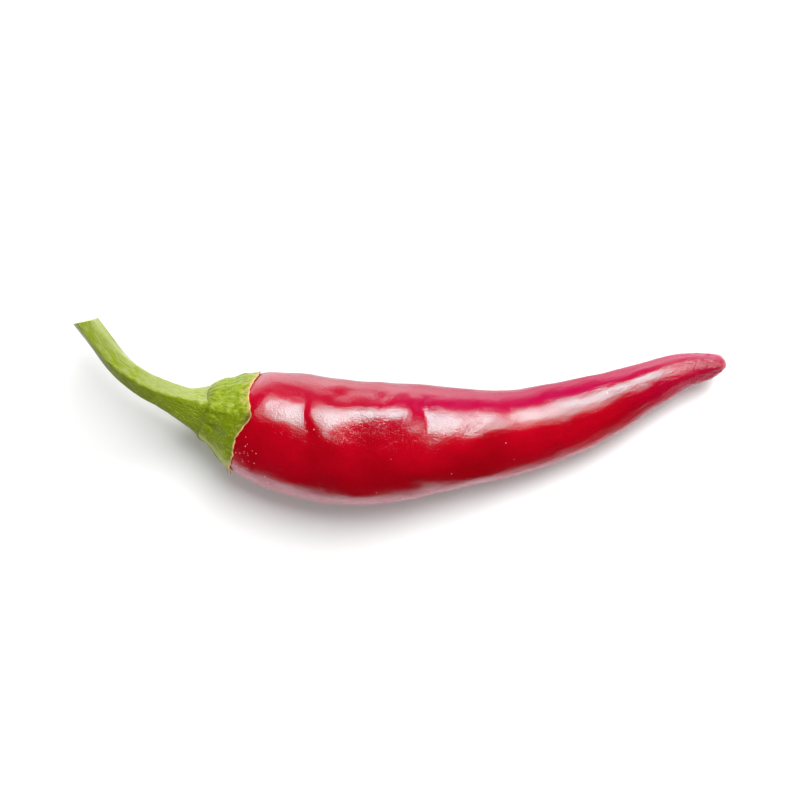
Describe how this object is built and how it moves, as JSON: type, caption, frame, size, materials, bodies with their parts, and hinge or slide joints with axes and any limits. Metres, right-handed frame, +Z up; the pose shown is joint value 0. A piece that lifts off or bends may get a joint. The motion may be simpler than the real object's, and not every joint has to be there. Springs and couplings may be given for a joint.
{
  "type": "chilli pepper",
  "caption": "Whole fresh red chilli lying on its side, with a long curved pod, a green toothed calyx over its shoulder and a bent, snipped stem.",
  "frame": {"origin": "on the surface that the chilli lies on, under the middle of its bounding box", "axes": "+X from the stem towards the pod's tip, +Y to the side that the stem bends to, +Z up"},
  "size_m": [0.1203, 0.0342, 0.0192],
  "materials": {
    "pod_skin": "waxy gloss skin with a fine pebbled grain and soft dents",
    "calyx_flesh": "satin green plant tissue with fine wrinkles and a dried tan rim",
    "stem_rind": "satin ridged green rind with pale flecks and a paler cut end"
  },
  "bodies": {
    "root": {"pod": "pod_skin", "calyx": "calyx_flesh", "stem": "stem_rind"}
  },
  "joints": []
}
